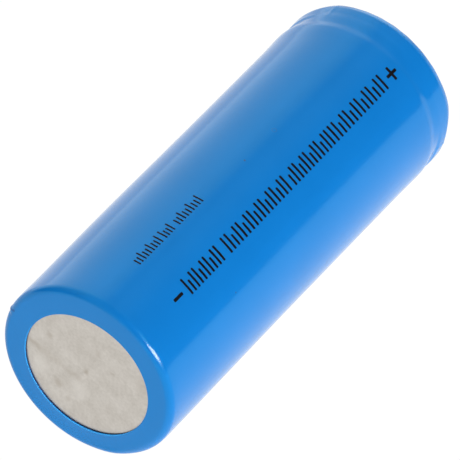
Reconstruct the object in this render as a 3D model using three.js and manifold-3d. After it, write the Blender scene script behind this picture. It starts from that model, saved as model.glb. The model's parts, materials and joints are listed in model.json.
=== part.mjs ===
// Cylindrical lithium-ion cell of the 18 mm by 50 mm class, lying on its side.
// Millimetres. The origin is the centre of the negative contact face, +X runs along the cell
// to the positive cap, and +Z is up. Round pieces are polygons whose flats lie on the stated radius.

import * as THREE from 'three';
import { mergeVertices } from 'three/addons/utils/BufferGeometryUtils.js';
import Module from 'manifold-3d';

// ---- Driving dimensions ----

const ROUND_STEPS = 36;          // flats on every turned piece
const PLAY = 0.02;               // clearance between neighbours that touch on the real cell

const CELL_RADIUS = 9.15;        // outside of the sleeve
const CRIMP_RADIUS = 9.10;       // outside of the sleeve over the crimped end
const SLEEVE_WALL = 0.10;
const SLEEVE_HOLE_RADIUS = 6.58; // negative end, where the can shows
const SLEEVE_TOP_RADIUS = 6.90;  // positive end, where the washer shows
const SLEEVE_LIP_RISE = 0.05;    // how far the hole's edge curls off the can
const NEGATIVE_CORNER = 0.68;    // outer corner radii of the sleeve
const POSITIVE_CORNER = 0.79;
const SHOULDER_X = 48.38;        // positive shoulder of the sleeve
const GROOVE_X = 45.60;          // middle of the bead groove
const SLEEVE_DIP = 0.43;         // how far the sleeve sags over the groove
const SLEEVE_DIP_HALF_WIDTH = 1.1;

const CAN_WALL = 0.22;
const CAN_FLAT_RADIUS = 6.1;     // vertex ring on the contact face, inside the sleeve's hole
const BEAD_DEPTH = 1.35;
const BEAD_BOTTOM = 0.4;         // radius of the bottom of the groove
const BEAD_SHOULDER = 0.8;       // radius of the two edges of the groove
const CRIMP_LIP_RADIUS = 6.95;   // inner edge of the crimped lip

const WASHER_THICKNESS = 0.21;
const WASHER_HOLE_RADIUS = 5.0;
const WASHER_RADIUS = 8.25;

const CAP_TOP_X = 49.40;
const CAP_SHEET = 0.30;
const CAP_FLAT_RADIUS = 3.55;
const CAP_FOOT_RADIUS = 4.15;
const VENT_WINDOWS = 4;
const VENT_WINDOW_SIZE = [0.6, 1.5];    // along the cell and round the cap

const GASKET_SEAT_X = 46.26;
const GASKET_LIP = 0.32;         // thickness of its lower lip
const GASKET_SKIRT = 0.74;       // thickness of its outer wall
const GASKET_CHAMFER = 0.54;     // on its lower outer edge, clear of the bead
const GASKET_HOLE_RADIUS = 6.35;
const STACK_PLAY_RADIUS = 0.03;

const VENT_SHEET = 0.20;
const VENT_NUB_X = 45.68;        // underside of the weld nub in its middle
const VENT_NUB_RADIUS = 1.1;
const VENT_DISH_RADIUS = 4.6;    // where the dish meets the flat rim
const PTC_THICKNESS = 0.25;
const PTC_HOLE_RADIUS = 4.9;

const CID_PLATE_TOP_X = 45.65;
const CID_PLATE_RADIUS = 5.6;
const CID_PLATE_THICKNESS = 0.30;
const CID_HOLES = 6;
const CID_HOLE_RADIUS = 0.55;
const CID_HOLE_CIRCLE = 3.9;
const COLLAR_PLAY = 0.08;        // between the plate's rim and the collar
const COLLAR_WALL = 0.57;
const COLLAR_SHELF = 0.6;        // how far the collar reaches in over the plate

const ROLL_CORE_RADIUS = 2.3;
const ROLL_RADIUS = 8.4;
const ROLL_TURNS = 4;
const ROLL_STEPS_PER_TURN = 16;
const ROLL_START_X = 1.0;
const ROLL_END_X = 43.8;
const ROLL_END_ANGLE = THREE.MathUtils.degToRad(22);    // where the winding stops, before the tab
const END_TAPE_FROM_X = 8;
const END_TAPE_TO_X = 36;
const PIN_RADIUS = 1.4;
const PIN_BORE_RADIUS = 1.1;
const PIN_SLIT_HALF_ANGLE = THREE.MathUtils.degToRad(9);
const PIN_END_MARGIN = 0.4;      // short of the roll's ends

const INSULATOR_THICKNESS = 0.2;
const INSULATOR_RADIUS = 8.5;
const INSULATOR_GAP = 0.1;       // between each insulator and the roll
const BOTTOM_HOLE_RADIUS = 1.6;
const TOP_HOLE_RADIUS = 0.9;
const FILL_HOLE_RADIUS = 1.1;    // the two electrolyte holes of the top insulator
const FILL_HOLE_Y = 4.6;
const FILL_HOLE_Z = -1.5;
const TAB_SLOT_HEIGHT = 0.7;
const TAB_SLOT_SIDE_PLAY = 0.3;

const TAB_THICKNESS = 0.15;
const TAB_BEND = 0.3;
const TAB_IN_ROLL = 7;           // length of tab inside the roll
const POSITIVE_TAB_WIDTH = 2.4;
const POSITIVE_TAB_Z = 1.55;
const POSITIVE_TAB_TURN_Z = -2.3;
const POSITIVE_TAB_END_Z = 2.0;
const NEGATIVE_TAB_WIDTH = 3.0;
const NEGATIVE_TAB_Z = -7.55;
const NEGATIVE_TAB_END_Z = 1.5;
const TAPE_THICKNESS = 0.07;
const TAB_TAPE_LENGTH = 7.6;
const TAB_TAPE_END_MARGIN = 0.4;
const TAB_TAPE_OVERHANG = 0.1;   // past the tab on one side

// ---- Heights worked out from them ----

const canRadius = CELL_RADIUS - SLEEVE_WALL - PLAY;
const canCrimpRadius = CRIMP_RADIUS - SLEEVE_WALL - PLAY;
const washerTop = SHOULDER_X - SLEEVE_WALL - PLAY;
const canTop = washerTop - WASHER_THICKNESS - PLAY;
const ventRimX = GASKET_SEAT_X + GASKET_LIP + PLAY;
const ptcX = ventRimX + VENT_SHEET + PLAY;
const brimX = ptcX + PTC_THICKNESS + PLAY;
const gasketLipX = brimX + CAP_SHEET + PLAY;
const gasketTop = canTop - CAN_WALL - PLAY;
const gasketRadius = canCrimpRadius - CAN_WALL - PLAY;
const stackRadius = gasketRadius - GASKET_SKIRT - STACK_PLAY_RADIUS;
const bottomInsulatorX = ROLL_START_X - INSULATOR_THICKNESS - INSULATOR_GAP;
const topInsulatorX = ROLL_END_X + INSULATOR_GAP;

// ---- Materials ----

function plastic(color, roughness) {
  return new THREE.MeshStandardMaterial({ color, roughness, metalness: 0 });
}

function metal(color, roughness) {
  return new THREE.MeshStandardMaterial({ color, roughness, metalness: 1 });
}

const bluePvc = plastic('#1479cc', 0.22);
const whiteFibre = plastic('#e4e1d6', 0.85);
const whitePolymer = plastic('#dcdcd6', 0.55);
const blackPolymer = plastic('#1c1c1e', 0.6);
const amberTape = plastic('#b9781f', 0.3);
const separatorFilm = plastic('#f0f0ee', 0.6);
const cathodePaste = plastic('#222326', 0.8);
const anodePaste = plastic('#35373b', 0.75);
const nickelPlate = metal('#c9c4bc', 0.38);
const nickelStrip = metal('#bdb8ae', 0.35);
const aluminium = metal('#d2d4d6', 0.35);
const copper = metal('#c47a4e', 0.35);

// ---- Outlines ----

// A point of a turned profile: distance from the axis, and place along the cell.
function at(radius, x) {
  return new THREE.Vector2(radius, x);
}

// Points round a corner of a profile, between two angles in degrees.
function arc(centre, radius, from, to, steps) {
  return Array.from({ length: steps + 1 }, (_, i) => {
    const angle = THREE.MathUtils.degToRad(THREE.MathUtils.lerp(from, to, i / steps));
    return at(centre.x + radius * Math.cos(angle), centre.y + radius * Math.sin(angle));
  });
}

// The left-hand unit normal of the step from one point to the next.
function leftNormal(from, to) {
  const step = to.clone().sub(from).normalize();
  return at(-step.y, step.x);
}

// A sheet of even thickness: the line, then the same line moved to its left, travelled back.
function sheetOutline(line, thickness) {
  const last = line.length - 1;
  const moved = line.map((point, i) => {
    const before = leftNormal(line[Math.max(i - 1, 0)], line[Math.max(i, 1)]);
    const after = leftNormal(line[Math.min(i, last - 1)], line[Math.min(i + 1, last)]);
    const mitre = before.clone().add(after).divideScalar(1 + before.dot(after));
    return point.clone().addScaledVector(mitre, thickness);
  });
  return [...line, ...moved.reverse()];
}

// ---- Solids ----

// A turned piece. Its outline runs anticlockwise, and closes on itself unless it is on the axis.
function turned(name, outline, material) {
  const onAxis = outline[0].x === 0;
  const closed = onAxis ? outline : [...outline, outline[0].clone()];
  const acrossCorners = 1 / Math.cos(Math.PI / ROUND_STEPS);
  const profile = closed.map((point) => at(point.x * acrossCorners, point.y));
  const geometry = new THREE.LatheGeometry(profile, ROUND_STEPS, Math.PI / ROUND_STEPS);
  const mesh = new THREE.Mesh(geometry, material);
  mesh.name = name;
  mesh.rotation.z = -Math.PI / 2;
  return mesh;
}

// A ring of rectangular section.
function ring(name, innerRadius, outerRadius, fromX, toX, material) {
  const outline = [
    at(innerRadius, fromX),
    at(outerRadius, fromX),
    at(outerRadius, toX),
    at(innerRadius, toX),
  ];
  return turned(name, outline, material);
}

// A flat shape across the cell, given thickness along it. Shape X points down and shape Y is +Y.
function across(name, shape, fromX, toX, material) {
  const geometry = new THREE.ExtrudeGeometry(shape, {
    depth: toX - fromX,
    bevelEnabled: false,
    curveSegments: ROUND_STEPS / 2,
  });
  const mesh = new THREE.Mesh(geometry, material);
  mesh.name = name;
  mesh.rotation.y = Math.PI / 2;
  mesh.position.x = fromX;
  return mesh;
}

// A bent strip: its line lies in the upright plane along the cell, as (x, z) points.
function strip(name, line, width, material) {
  const shape = new THREE.Shape(sheetOutline(line, TAB_THICKNESS));
  const geometry = new THREE.ExtrudeGeometry(shape, { depth: width, bevelEnabled: false });
  const mesh = new THREE.Mesh(geometry, material);
  mesh.name = name;
  mesh.rotation.x = Math.PI / 2;
  mesh.position.y = width / 2;
  return mesh;
}

// A flat tape lying along a tab.
function tape(name, fromX, tabWidth, z) {
  const width = tabWidth + 2 * TAB_TAPE_OVERHANG;
  const geometry = new THREE.BoxGeometry(TAB_TAPE_LENGTH, width, TAPE_THICKNESS);
  const mesh = new THREE.Mesh(geometry, amberTape);
  mesh.name = name;
  mesh.position.set(fromX + TAB_TAPE_LENGTH / 2, 0, z);
  return mesh;
}

function holePath(centreX, centreY, radius) {
  const path = new THREE.Path();
  path.absarc(centreX, centreY, radius, 0, 2 * Math.PI, true);
  return path;
}

function slotPath(centreX, centreY, height, width) {
  const path = new THREE.Path();
  path.moveTo(centreX - height / 2, centreY - width / 2);
  path.lineTo(centreX - height / 2, centreY + width / 2);
  path.lineTo(centreX + height / 2, centreY + width / 2);
  path.lineTo(centreX + height / 2, centreY - width / 2);
  path.closePath();
  return path;
}

function discShape(radius) {
  const shape = new THREE.Shape();
  shape.absarc(0, 0, radius, 0, 2 * Math.PI, false);
  return shape;
}

// ---- Cuts ----

const wasm = await Module();
wasm.setup();

function toManifold(geometry) {
  const bare = geometry.clone();
  bare.deleteAttribute('normal');
  bare.deleteAttribute('uv');
  const merged = mergeVertices(bare, 1e-5);
  return new wasm.Manifold(new wasm.Mesh({
    numProp: 3,
    vertProperties: new Float32Array(merged.attributes.position.array),
    triVerts: new Uint32Array(merged.index.array),
  }));
}

function toGeometry(manifold) {
  const cut = manifold.getMesh();
  const geometry = new THREE.BufferGeometry();
  geometry.setAttribute('position', new THREE.BufferAttribute(cut.vertProperties, cut.numProp));
  geometry.setIndex(new THREE.BufferAttribute(cut.triVerts, 1));
  geometry.computeVertexNormals();
  return geometry;
}

// ---- Casing ----

// The heat-shrunk sleeve: over both ends, tight on the can, and sagging over the bead groove.
function shrinkSleeve() {
  const nearX = -SLEEVE_WALL - PLAY;
  const baseCorner = at(CELL_RADIUS - NEGATIVE_CORNER, nearX + NEGATIVE_CORNER);
  const topCorner = at(CRIMP_RADIUS - POSITIVE_CORNER, SHOULDER_X - POSITIVE_CORNER);
  const dipSteps = 6;
  const dip = Array.from({ length: dipSteps + 1 }, (_, i) => {
    const side = THREE.MathUtils.lerp(-1, 1, i / dipSteps);
    const edgeRadius = side < 0 ? CELL_RADIUS : CRIMP_RADIUS;
    const depth = edgeRadius - (CELL_RADIUS - SLEEVE_DIP);
    const share = (1 + Math.cos(Math.PI * side)) / 2;
    return at(edgeRadius - depth * share, GROOVE_X + SLEEVE_DIP_HALF_WIDTH * side);
  });
  const line = [
    at(SLEEVE_HOLE_RADIUS, nearX - SLEEVE_LIP_RISE),
    ...arc(baseCorner, NEGATIVE_CORNER, -90, 0, 3),
    ...dip,
    ...arc(topCorner, POSITIVE_CORNER, 0, 90, 3),
    at(SLEEVE_TOP_RADIUS, SHOULDER_X),
  ];
  return turned('shrink_sleeve', sheetOutline(line, SLEEVE_WALL), bluePvc);
}

// The drawn steel can: contact face, wall, bead groove and crimped lip in one sheet.
function steelCan() {
  const corner = NEGATIVE_CORNER - SLEEVE_WALL;
  const topCorner = POSITIVE_CORNER - SLEEVE_WALL;
  const grooveCentre = canRadius - BEAD_DEPTH + BEAD_BOTTOM;
  const edgeOffset = BEAD_BOTTOM + BEAD_SHOULDER;
  const line = [
    at(0, 0),
    at(CAN_FLAT_RADIUS, 0),
    ...arc(at(canRadius - corner, corner), corner, -90, 0, 3),
    ...arc(at(canRadius - BEAD_SHOULDER, GROOVE_X - edgeOffset), BEAD_SHOULDER, 0, 90, 3),
    ...arc(at(grooveCentre, GROOVE_X), BEAD_BOTTOM, 270, 90, 4),
    ...arc(at(canCrimpRadius - BEAD_SHOULDER, GROOVE_X + edgeOffset), BEAD_SHOULDER, -90, 0, 3),
    ...arc(at(canCrimpRadius - topCorner, canTop - topCorner), topCorner, 0, 90, 3),
    at(CRIMP_LIP_RADIUS, canTop),
  ];
  return turned('steel_can', sheetOutline(line, CAN_WALL), nickelPlate);
}

function topWasher() {
  const fromX = washerTop - WASHER_THICKNESS;
  return ring('top_washer', WASHER_HOLE_RADIUS, WASHER_RADIUS, fromX, washerTop, whiteFibre);
}

// ---- Closure ----

// The sealing gasket: a channel round the cap, vent disc and current limiter.
function crimpGasket() {
  const grooveRadius = stackRadius + STACK_PLAY_RADIUS;
  const topCorner = POSITIVE_CORNER - SLEEVE_WALL - CAN_WALL;
  const outline = [
    at(GASKET_HOLE_RADIUS, GASKET_SEAT_X),
    at(gasketRadius - GASKET_CHAMFER, GASKET_SEAT_X),
    at(gasketRadius, GASKET_SEAT_X + GASKET_CHAMFER),
    ...arc(at(gasketRadius - topCorner, gasketTop - topCorner), topCorner, 0, 90, 3),
    at(CRIMP_LIP_RADIUS, gasketTop),
    at(CRIMP_LIP_RADIUS, gasketLipX),
    at(grooveRadius, gasketLipX),
    at(grooveRadius, GASKET_SEAT_X + GASKET_LIP),
    at(GASKET_HOLE_RADIUS, GASKET_SEAT_X + GASKET_LIP),
  ];
  return turned('crimp_gasket', outline, blackPolymer);
}

// The flat-topped positive cap, a stamped hat with gas windows in its skirt.
function topCap() {
  const bend = 0.2;
  const underTop = CAP_TOP_X - CAP_SHEET;
  const line = [
    at(0, underTop),
    at(CAP_FLAT_RADIUS - bend, underTop),
    at(CAP_FLAT_RADIUS, underTop - bend),
    at(CAP_FOOT_RADIUS, brimX + bend),
    at(CAP_FOOT_RADIUS + bend, brimX),
    at(stackRadius, brimX),
  ];
  const cap = turned('top_cap', sheetOutline(line, CAP_SHEET), nickelPlate);
  const [windowLength, windowWidth] = VENT_WINDOW_SIZE;
  const windowX = (SHOULDER_X + CAP_TOP_X - windowLength) / 2;
  const reach = 2 * CAP_SHEET + CAP_FOOT_RADIUS - CAP_FLAT_RADIUS;
  let body = toManifold(cap.geometry);
  for (let i = 0; i < VENT_WINDOWS; i += 1) {
    const cutter = new THREE.BoxGeometry(windowWidth, windowLength, 2 * reach);
    cutter.translate(0, windowX, CAP_FOOT_RADIUS);
    cutter.rotateY((2 * Math.PI * (i + 0.5)) / VENT_WINDOWS);
    body = body.subtract(toManifold(cutter));
  }
  cap.geometry = toGeometry(body);
  return cap;
}

// The scored aluminium disc that bulges and tears when the cell over-pressures.
function ventDisc() {
  const nubHeight = 0.2;
  const line = [
    at(0, VENT_NUB_X),
    at(VENT_NUB_RADIUS, VENT_NUB_X),
    at(VENT_NUB_RADIUS + 3 * nubHeight, VENT_NUB_X + nubHeight),
    at(VENT_DISH_RADIUS, ventRimX),
    at(stackRadius, ventRimX),
  ];
  return turned('vent_disc', sheetOutline(line, VENT_SHEET), aluminium);
}

function ptcRing() {
  return ring('ptc_ring', PTC_HOLE_RADIUS, stackRadius, ptcX, ptcX + PTC_THICKNESS, blackPolymer);
}

// The perforated plate that the vent disc's middle is welded to.
function cidPlate() {
  const shape = discShape(CID_PLATE_RADIUS);
  for (let i = 0; i < CID_HOLES; i += 1) {
    const angle = (2 * Math.PI * i) / CID_HOLES;
    const centre = [CID_HOLE_CIRCLE * Math.cos(angle), CID_HOLE_CIRCLE * Math.sin(angle)];
    shape.holes.push(holePath(...centre, CID_HOLE_RADIUS));
  }
  return across('cid_plate', shape, CID_PLATE_TOP_X - CID_PLATE_THICKNESS, CID_PLATE_TOP_X, aluminium);
}

// The insulating collar that holds the plate's rim off the vent disc.
function cidCollar() {
  const inner = CID_PLATE_RADIUS + COLLAR_PLAY;
  const outer = inner + COLLAR_WALL;
  const shelf = CID_PLATE_RADIUS - COLLAR_SHELF;
  const outline = [
    at(inner, CID_PLATE_TOP_X - CID_PLATE_THICKNESS),
    at(outer, CID_PLATE_TOP_X - CID_PLATE_THICKNESS),
    at(outer, ventRimX - PLAY),
    at(shelf, ventRimX - PLAY),
    at(shelf, CID_PLATE_TOP_X + PLAY),
    at(inner, CID_PLATE_TOP_X + PLAY),
  ];
  return turned('cid_collar', outline, whitePolymer);
}

// ---- Wound roll ----

// One layer of the roll: a spiral ribbon that starts at the core, by its depth in the stack.
function windingLayer(name, offset, thickness, pitch, endMargin, material) {
  const steps = ROLL_TURNS * ROLL_STEPS_PER_TURN;
  const side = (radiusAtStart) => Array.from({ length: steps + 1 }, (_, i) => {
    const turns = i / ROLL_STEPS_PER_TURN;
    const angle = 2 * Math.PI * turns - ROLL_END_ANGLE;
    const radius = radiusAtStart + pitch * turns;
    return new THREE.Vector2(radius * Math.cos(angle), radius * Math.sin(angle));
  });
  const inner = ROLL_CORE_RADIUS + offset;
  const shape = new THREE.Shape([...side(inner + thickness), ...side(inner).reverse()]);
  return across(name, shape, ROLL_START_X + endMargin, ROLL_END_X - endMargin, material);
}

// Both electrodes, each a foil coated on both faces, with a separator under each of them.
function windings() {
  const layers = [
    ['separator_inner', 0.10, 0, separatorFilm],
    ['cathode_coating_inner', 0.20, 1.0, cathodePaste],
    ['cathode_foil', 0.08, 0.8, aluminium],
    ['cathode_coating_outer', 0.20, 1.0, cathodePaste],
    ['separator_outer', 0.10, 0, separatorFilm],
    ['anode_coating_inner', 0.16, 0.6, anodePaste],
    ['anode_foil', 0.06, 0.4, copper],
    ['anode_coating_outer', 0.16, 0.6, anodePaste],
  ];
  const pitch = (ROLL_RADIUS - ROLL_CORE_RADIUS) / (ROLL_TURNS + 1);
  let offset = PLAY;
  return layers.map(([name, thickness, endMargin, material]) => {
    const layer = windingLayer(name, offset, thickness, pitch, endMargin, material);
    offset += thickness + PLAY;
    return layer;
  });
}

// The rolled steel pin that keeps the core open, slit along its length.
function centrePin() {
  const from = PIN_SLIT_HALF_ANGLE;
  const to = 2 * Math.PI - PIN_SLIT_HALF_ANGLE;
  const shape = new THREE.Shape();
  shape.absarc(0, 0, PIN_RADIUS, from, to, false);
  shape.absarc(0, 0, PIN_BORE_RADIUS, to, from, true);
  shape.closePath();
  const fromX = ROLL_START_X + PIN_END_MARGIN;
  return across('centre_pin', shape, fromX, ROLL_END_X - PIN_END_MARGIN, nickelStrip);
}

// The tape wrapped once round the roll to hold its end down.
function rollEndTape() {
  const inner = ROLL_RADIUS + 3 * PLAY;
  const outer = inner + TAPE_THICKNESS;
  return ring('roll_end_tape', inner, outer, END_TAPE_FROM_X, END_TAPE_TO_X, amberTape);
}

// ---- Insulators and tabs ----

// A round insulator with a hole in its middle and a slot that its tab passes through.
function insulatorShape(holeRadius, tabZ, tabWidth) {
  const shape = discShape(INSULATOR_RADIUS);
  shape.holes.push(holePath(0, 0, holeRadius));
  const tabMiddleZ = tabZ + TAB_THICKNESS / 2;
  const slotWidth = tabWidth + 2 * TAB_SLOT_SIDE_PLAY;
  shape.holes.push(slotPath(-tabMiddleZ, 0, TAB_SLOT_HEIGHT, slotWidth));
  return shape;
}

function bottomInsulator() {
  const shape = insulatorShape(BOTTOM_HOLE_RADIUS, NEGATIVE_TAB_Z, NEGATIVE_TAB_WIDTH);
  const toX = bottomInsulatorX + INSULATOR_THICKNESS;
  return across('bottom_insulator', shape, bottomInsulatorX, toX, whitePolymer);
}

function topInsulator() {
  const shape = insulatorShape(TOP_HOLE_RADIUS, POSITIVE_TAB_Z, POSITIVE_TAB_WIDTH);
  for (const side of [-1, 1]) {
    shape.holes.push(holePath(-FILL_HOLE_Z, side * FILL_HOLE_Y, FILL_HOLE_RADIUS));
  }
  const toX = topInsulatorX + INSULATOR_THICKNESS;
  return across('top_insulator', shape, topInsulatorX, toX, whitePolymer);
}

// Aluminium lead: out of the core, through the top insulator, folded back under the plate.
function positiveTab() {
  const plateUnder = CID_PLATE_TOP_X - CID_PLATE_THICKNESS - PLAY;
  const foldX = topInsulatorX + INSULATOR_THICKNESS + TAB_BEND;
  const turnZ = POSITIVE_TAB_TURN_Z;
  const line = [
    at(ROLL_END_X - TAB_IN_ROLL, POSITIVE_TAB_Z),
    at(foldX - TAB_BEND, POSITIVE_TAB_Z),
    at(foldX, POSITIVE_TAB_Z - TAB_BEND),
    at(foldX, turnZ + TAB_BEND),
    at(foldX + TAB_BEND, turnZ),
    at(plateUnder - TAB_BEND, turnZ),
    at(plateUnder, turnZ + TAB_BEND),
    at(plateUnder, POSITIVE_TAB_END_Z),
  ];
  return strip('positive_tab', line, POSITIVE_TAB_WIDTH, aluminium);
}

// Nickel lead: down beside the last turn, then folded in across the inside of the can's base.
function negativeTab() {
  const floorX = CAN_WALL + 2 * PLAY;
  const line = [
    at(floorX, NEGATIVE_TAB_END_Z),
    at(floorX, NEGATIVE_TAB_Z + TAB_BEND),
    at(floorX + TAB_BEND, NEGATIVE_TAB_Z),
    at(ROLL_START_X + TAB_IN_ROLL, NEGATIVE_TAB_Z),
  ];
  return strip('negative_tab', line, NEGATIVE_TAB_WIDTH, nickelStrip);
}

// The tapes that cover the tabs inside the roll.
function tabTapes() {
  const positiveZ = POSITIVE_TAB_Z + TAB_THICKNESS + PLAY + TAPE_THICKNESS / 2;
  const negativeZ = NEGATIVE_TAB_Z - PLAY - TAPE_THICKNESS / 2;
  const positiveFromX = ROLL_END_X - TAB_TAPE_END_MARGIN - TAB_TAPE_LENGTH;
  const negativeFromX = ROLL_START_X + TAB_TAPE_END_MARGIN;
  return [
    tape('positive_tab_tape', positiveFromX, POSITIVE_TAB_WIDTH, positiveZ),
    tape('negative_tab_tape', negativeFromX, NEGATIVE_TAB_WIDTH, negativeZ),
  ];
}

// ---- Assembly ----

const cell = new THREE.Group();
cell.add(shrinkSleeve(), steelCan(), topWasher());
cell.add(crimpGasket(), topCap(), ptcRing(), ventDisc(), cidPlate(), cidCollar());
cell.add(...windings(), centrePin(), rollEndTape());
cell.add(bottomInsulator(), topInsulator(), positiveTab(), negativeTab(), ...tabTapes());

export default cell;
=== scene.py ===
"""A cylindrical battery cell's looks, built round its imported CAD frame. Blender 4.5, metres.

The cell lies along +X with its bare base at x = 0. Places round the barrel are given as an
angle from +Z towards -Y, the side that faces the viewer.
"""
import json
import math

import bpy
import numpy as np
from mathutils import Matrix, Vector


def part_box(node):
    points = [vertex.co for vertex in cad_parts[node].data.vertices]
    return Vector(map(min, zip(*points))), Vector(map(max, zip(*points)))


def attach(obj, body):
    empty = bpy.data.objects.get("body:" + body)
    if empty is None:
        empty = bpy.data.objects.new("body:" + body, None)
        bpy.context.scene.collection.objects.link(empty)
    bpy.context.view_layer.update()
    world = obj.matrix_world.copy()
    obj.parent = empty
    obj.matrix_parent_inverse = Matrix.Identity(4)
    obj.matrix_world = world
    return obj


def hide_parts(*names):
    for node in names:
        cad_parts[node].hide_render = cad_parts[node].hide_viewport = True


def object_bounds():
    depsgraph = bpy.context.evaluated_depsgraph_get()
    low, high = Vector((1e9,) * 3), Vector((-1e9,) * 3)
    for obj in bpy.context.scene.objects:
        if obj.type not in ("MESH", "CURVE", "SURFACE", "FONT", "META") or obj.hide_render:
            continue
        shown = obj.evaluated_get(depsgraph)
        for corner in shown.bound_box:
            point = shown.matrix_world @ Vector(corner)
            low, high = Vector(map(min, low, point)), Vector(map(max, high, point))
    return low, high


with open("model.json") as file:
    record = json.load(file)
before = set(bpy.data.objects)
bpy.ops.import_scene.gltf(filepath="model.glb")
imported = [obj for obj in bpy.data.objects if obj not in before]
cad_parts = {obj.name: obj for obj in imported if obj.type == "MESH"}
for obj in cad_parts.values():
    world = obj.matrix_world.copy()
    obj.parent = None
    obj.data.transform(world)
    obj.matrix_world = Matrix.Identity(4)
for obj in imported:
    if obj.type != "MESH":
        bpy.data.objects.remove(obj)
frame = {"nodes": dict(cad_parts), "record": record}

cad_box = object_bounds()
nodes = frame["nodes"]
MM = 0.001

# ---- Sizes from the frame, in millimetres ----

sleeve_low, sleeve_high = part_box("shrink_sleeve")
can_low, can_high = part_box("steel_can")
washer_low, washer_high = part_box("top_washer")
cap_low, cap_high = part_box("top_cap")

BARREL_R = sleeve_high.z / MM
LIP_X = sleeve_low.x / MM
SHOULDER_X = sleeve_high.x / MM
CAN_TOP_X = can_high.x / MM
CAN_R = can_high.z / MM
WASHER_LOW_X = washer_low.x / MM
WASHER_TOP_X = washer_high.x / MM
WASHER_R = washer_high.z / MM
CAP_TOP_X = cap_high.x / MM
BRIM_X = cap_low.x / MM
BRIM_R = cap_high.z / MM

# ---- Sizes that only the looks need, in millimetres ----

FILM = 0.10                            # thickness of the sleeve
BASE_HOLE_R = 6.55                     # hole in the sleeve at the base
BASE_FACE_X = -0.10                    # outside of the film where it lies on the base
BASE_CORNER_R = 0.68
TOP_HOLE_R = 6.90
TOP_CORNER_R = 0.79
CRIMP_R = BARREL_R - 0.06
CRIMP_CORNER_LONG = 1.25               # the crimped end's corner, longer along the cell than round
BODY_R = BARREL_R - 0.01               # the barrel flares to its full radius beside the groove
FLARE_X = (42.4, 43.9)
GROOVE_X = (44.30, 46.85)
SLEEVE_FACETS = 480                    # facets round the sleeve
PLAIN_FACETS = 192                     # and round the can and the washer

CAN_WALL = 0.22
CAN_LIP_R = 6.95                       # hole in the can's crimped end
BEAD_X = 45.60                         # middle of the can's bead groove
BEAD_DEPTH = 1.35
BEAD_R = 0.4
BEAD_EDGE_R = 1.1
CRIMP_IN = 0.10                        # the crimped end is this much smaller in radius

WASHER_HOLE_R = 5.0
WASHER_EDGE_R = 0.05

CAP_SHEET = 0.30
CAP_FLAT_R = 3.55
CAP_FOOT_R = 4.15
CAP_BEND = 0.22
CAP_TOP_BEND = CAP_BEND + CAP_SHEET * 0.6
CAP_FACETS = 288
CAP_WINDOWS = 4
CAP_WINDOW = (0.6, 1.5)                # along the cell and round the cap

INK_RISE = 0.008                       # the print stands this far proud of the film
INK_DEPTH = 0.03                       # and its underside lies this far inside it
BAR_CORNER = 0.3                       # the bars' corners, as a share of their smaller side
SHORT_SHARE = 0.70                     # height of a short bar, as a share of a tall one

# ---- Directions round the cell, in degrees ----

FACING = 32.0                          # towards the viewer
LOWER_SIDE = 122.0                     # the lower right edge of the cell as the viewer sees it
UPPER_SIDE = -58.0                     # and the upper left one

# ---- The film's unevenness ----
# Bells are given as height, place of the middle, and reach, in millimetres.
# Pairs of places are where something starts and where it is complete.

# The film is slack below near the base and tighter further on, and slack again on the upper side
SLACK_BELOW = 0.10
SLACK_START_X = (-0.6, 1.2)
SLACK_FADE_X = (0.5, 19.0)
TIGHT_BELOW = 0.03
TIGHT_X = (15.0, 24.0)
SLACK_UPPER = (0.075, 15.0, 9.5)
SLACK_LIP = (0.03, 1.2, 1.2)
SLACK_ENDS_X = (40.0, 44.0)

# A small fold pinched into the shoulder at the base: its place, its raised lip and its bottom
FOLD_TURN = -68.8
FOLD_ALONG = (1.0, 0.35, 0.45)
FOLD_LIP = (0.08, 0.30, 0.22)
FOLD_BOTTOM = (-0.09, -0.08, 0.16)

# How far the film falls over the groove, and where along the cell each fall starts and ends
GROOVE_ABOVE = [(0.100, 44.25, 45.25), (-0.040, 45.20, 46.40)]
GROOVE_ASIDE = [(0.205, 44.45, 46.05), (-0.145, 45.95, 46.55)]
ASIDE_TURNS = (52.0, 80.0)             # it is aside at this many degrees from the viewer's direction
GROOVE_UPPER = [(0.055, 44.3, 1.5), (-0.03, 46.7, 0.4)]      # further bells on the upper side

# A faint ridge where the film turns in over the crimp, and small pleats along the crimp
RIDGE = (0.02, 47.50, 0.14)
PLEAT = 0.03
PLEAT_REACH = 0.22
PLEAT_TURNS = (-22.0, 106.0)
PLEAT_START_X = (45.7, 46.6)
PLEAT_END_X = (47.7, 48.1)

# Neither shoulder is quite square. Leans along the cell: how far, in which direction, how sharply.
# Swells, or dents if negative: how far along the cell, in which direction, and reach in radians.
TOP_LEANS = [(0.08, 30.0, 2), (0.04, 8.0, 6)]
TOP_SWELLS = [(-0.15, 101.0, 0.26), (0.13, -23.0, 0.22), (0.13, 80.0, 0.20)]
TOP_SHIFT_X = (46.9, 47.9)
BASE_LEANS = [(0.06, 132.0, 8)]
BASE_SWELLS = [(-0.07, 163.0, 0.16)]
BASE_SHIFT_X = (0.1, 0.9)
BASE_SHIFT_R = (8.2, 8.8)

# The hole at the base lies low and isn't quite round: waves of its edge as height, direction and number
HOLE_LOWER = 0.18
HOLE_WIDER = 0.07
HOLE_WAVES = [(0.06, 95.0, 1), (0.04, 95.0, 2), (HOLE_LOWER, 185.0, 1)]
HOLE_EDGE = 1.2                        # width of the film's edge that this moves
EDGE_THICKER = 0.06                    # the curled edge reaches down to the base
EDGE_THICK_TURN = 205.0
EDGE_INSIDE_X = (-0.125, -0.075)
EDGE_PRESSED = 0.05                    # and the edge lies closer to the base away from the curl
EDGE_CURL_TURN = 185.0

# Puckers on the washer
PUCKERS = 31
PUCKER_DEPTH = 0.035
PUCKER_FROM, PUCKER_FULL = 0.4, 0.1    # below the shoulder


# ---- Mesh helpers ----

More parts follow.
